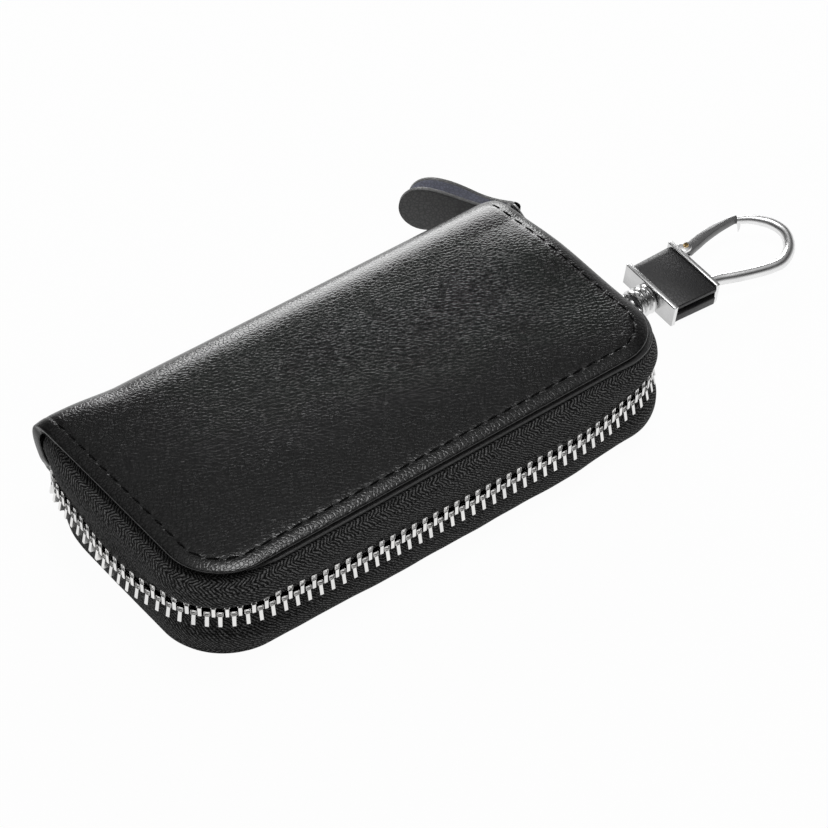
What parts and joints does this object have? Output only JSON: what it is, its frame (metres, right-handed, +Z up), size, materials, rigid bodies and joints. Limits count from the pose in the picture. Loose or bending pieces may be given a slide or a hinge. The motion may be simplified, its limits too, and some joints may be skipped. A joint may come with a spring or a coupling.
{
  "type": "key case",
  "caption": "Black leather zip-around key case with a metal zip, a folded leather pull tab and a chrome swivel snap hook on a short strap; it opens flat at the spine.",
  "frame": {"origin": "middle of the face the closed case rests on, under the middle of its cover panels", "axes": "+X along the spine towards the snap hook, +Y from the zip front to the spine, +Z up through the cover panels"},
  "size_m": [0.176, 0.0815, 0.0239],
  "materials": {
    "leather": "semi-gloss fine grain",
    "leather_inner": "matt cut edge",
    "lining": "plain weave",
    "board": "pressed fibre board",
    "wadding": "thin felt",
    "zip_tape": "herringbone twill",
    "zip_metal": "bright silver",
    "chrome": "polished plate",
    "steel": "nickel plate",
    "pin": "polished"
  },
  "bodies": {
    "lower_case": {"lower_leather": "leather", "lower_turned_edge": "leather_inner", "lower_board": "board", "lower_wadding": "wadding", "lower_lining": "lining", "lower_tape": "zip_tape", "lower_teeth": "zip_metal", "lower_end_stops": "zip_metal", "key_rail": "steel", "rail_rod": "steel", "rail_rivets": "steel", "hook_strap": "leather"},
    "spine": {"spine_leather": "leather", "spine_lining": "lining"},
    "upper_cover": {"upper_leather": "leather", "upper_turned_edge": "leather_inner", "upper_board": "board", "upper_wadding": "wadding", "upper_lining": "lining", "upper_tape": "zip_tape", "upper_teeth": "zip_metal", "upper_end_stops": "zip_metal", "card_pocket": "lining"},
    "slider": {"zip_slider": "zip_metal"},
    "link": {"pull_link": "chrome"},
    "tab": {"pull_tab": "leather"},
    "swivel": {"swivel_eye": "chrome"},
    "snap_hook": {"hook_frame": "chrome", "hook_sleeve": "leather", "hook_loop": "chrome", "gate_pin": "pin", "gate_spring": "steel"},
    "gate": {"hook_gate": "chrome"},
    "key_hook_1": {"key_hook_1": "steel"},
    "key_hook_2": {"key_hook_2": "steel"},
    "key_hook_3": {"key_hook_3": "steel"},
    "key_hook_4": {"key_hook_4": "steel"},
    "key_hook_5": {"key_hook_5": "steel"},
    "key_hook_6": {"key_hook_6": "steel"}
  },
  "joints": [
    {"name": "spine_fold", "type": "hinge", "parent": "lower_case", "child": "spine", "pos_m": [0, 0.0283, 0.0014], "axis": [-1, 0, 0], "range_deg": [0, 90]},
    {"name": "cover_fold", "type": "hinge", "parent": "spine", "child": "upper_cover", "pos_m": [0, 0.0283, 0.0211], "axis": [-1, 0, 0], "range_deg": [0, 90]},
    {"name": "zip_slide", "type": "slide", "parent": "lower_case", "child": "slider", "axis": [0, -1, 0], "range_m": [0, 0.016]},
    {"name": "link_swing", "type": "hinge", "parent": "slider", "child": "link", "pos_m": [0.0629, 0.02225, 0.01125], "axis": [0, 0, -1], "range_deg": [0, 45.2]},
    {"name": "tab_swing", "type": "hinge", "parent": "link", "child": "tab", "pos_m": [0.06565, 0.03124, 0.01125], "axis": [0, 0, -1], "range_deg": [0, 60]},
    {"name": "strap_swing", "type": "hinge", "parent": "lower_case", "child": "swivel", "pos_m": [0.0675, -0.0012, 0.0035], "axis": [0, -1, 0], "range_deg": [0, 60]},
    {"name": "hook_swivel", "type": "hinge", "parent": "swivel", "child": "snap_hook", "pos_m": [0.0768, -0.0012, 0.0035], "axis": [1, 0, 0], "continuous": true},
    {"name": "gate_open", "type": "hinge", "parent": "snap_hook", "child": "gate", "pos_m": [0.0913, 0.004, 0.0035], "axis": [0, 0, -1], "range_deg": [0, 26], "stiffness_Nm_per_rad": 0.03, "springref_deg": -17.19},
    {"name": "key_hook_1_swing", "type": "hinge", "parent": "lower_case", "child": "key_hook_1", "pos_m": [0.04, -0.0185, 0.0057], "axis": [0, 1, 0], "range_deg": [0, 30]},
    {"name": "key_hook_2_swing", "type": "hinge", "parent": "lower_case", "child": "key_hook_2", "pos_m": [0.04, -0.0111, 0.0057], "axis": [0, 1, 0], "range_deg": [0, 30]},
    {"name": "key_hook_3_swing", "type": "hinge", "parent": "lower_case", "child": "key_hook_3", "pos_m": [0.04, -0.0037, 0.0057], "axis": [0, 1, 0], "range_deg": [0, 30]},
    {"name": "key_hook_4_swing", "type": "hinge", "parent": "lower_case", "child": "key_hook_4", "pos_m": [0.04, 0.0037, 0.0057], "axis": [0, 1, 0], "range_deg": [0, 30]},
    {"name": "key_hook_5_swing", "type": "hinge", "parent": "lower_case", "child": "key_hook_5", "pos_m": [0.04, 0.0111, 0.0057], "axis": [0, 1, 0], "range_deg": [0, 30]},
    {"name": "key_hook_6_swing", "type": "hinge", "parent": "lower_case", "child": "key_hook_6", "pos_m": [0.04, 0.0185, 0.0057], "axis": [0, 1, 0], "range_deg": [0, 30]}
  ],
  "couplings": [
    {"joint": "cover_fold", "follows": "spine_fold", "ratio": 1},
    {"joint": "link_swing", "follows": "spine_fold", "ratio": 0.5},
    {"joint": "tab_swing", "follows": "zip_slide", "rad_per_m": 61.086}
  ]
}
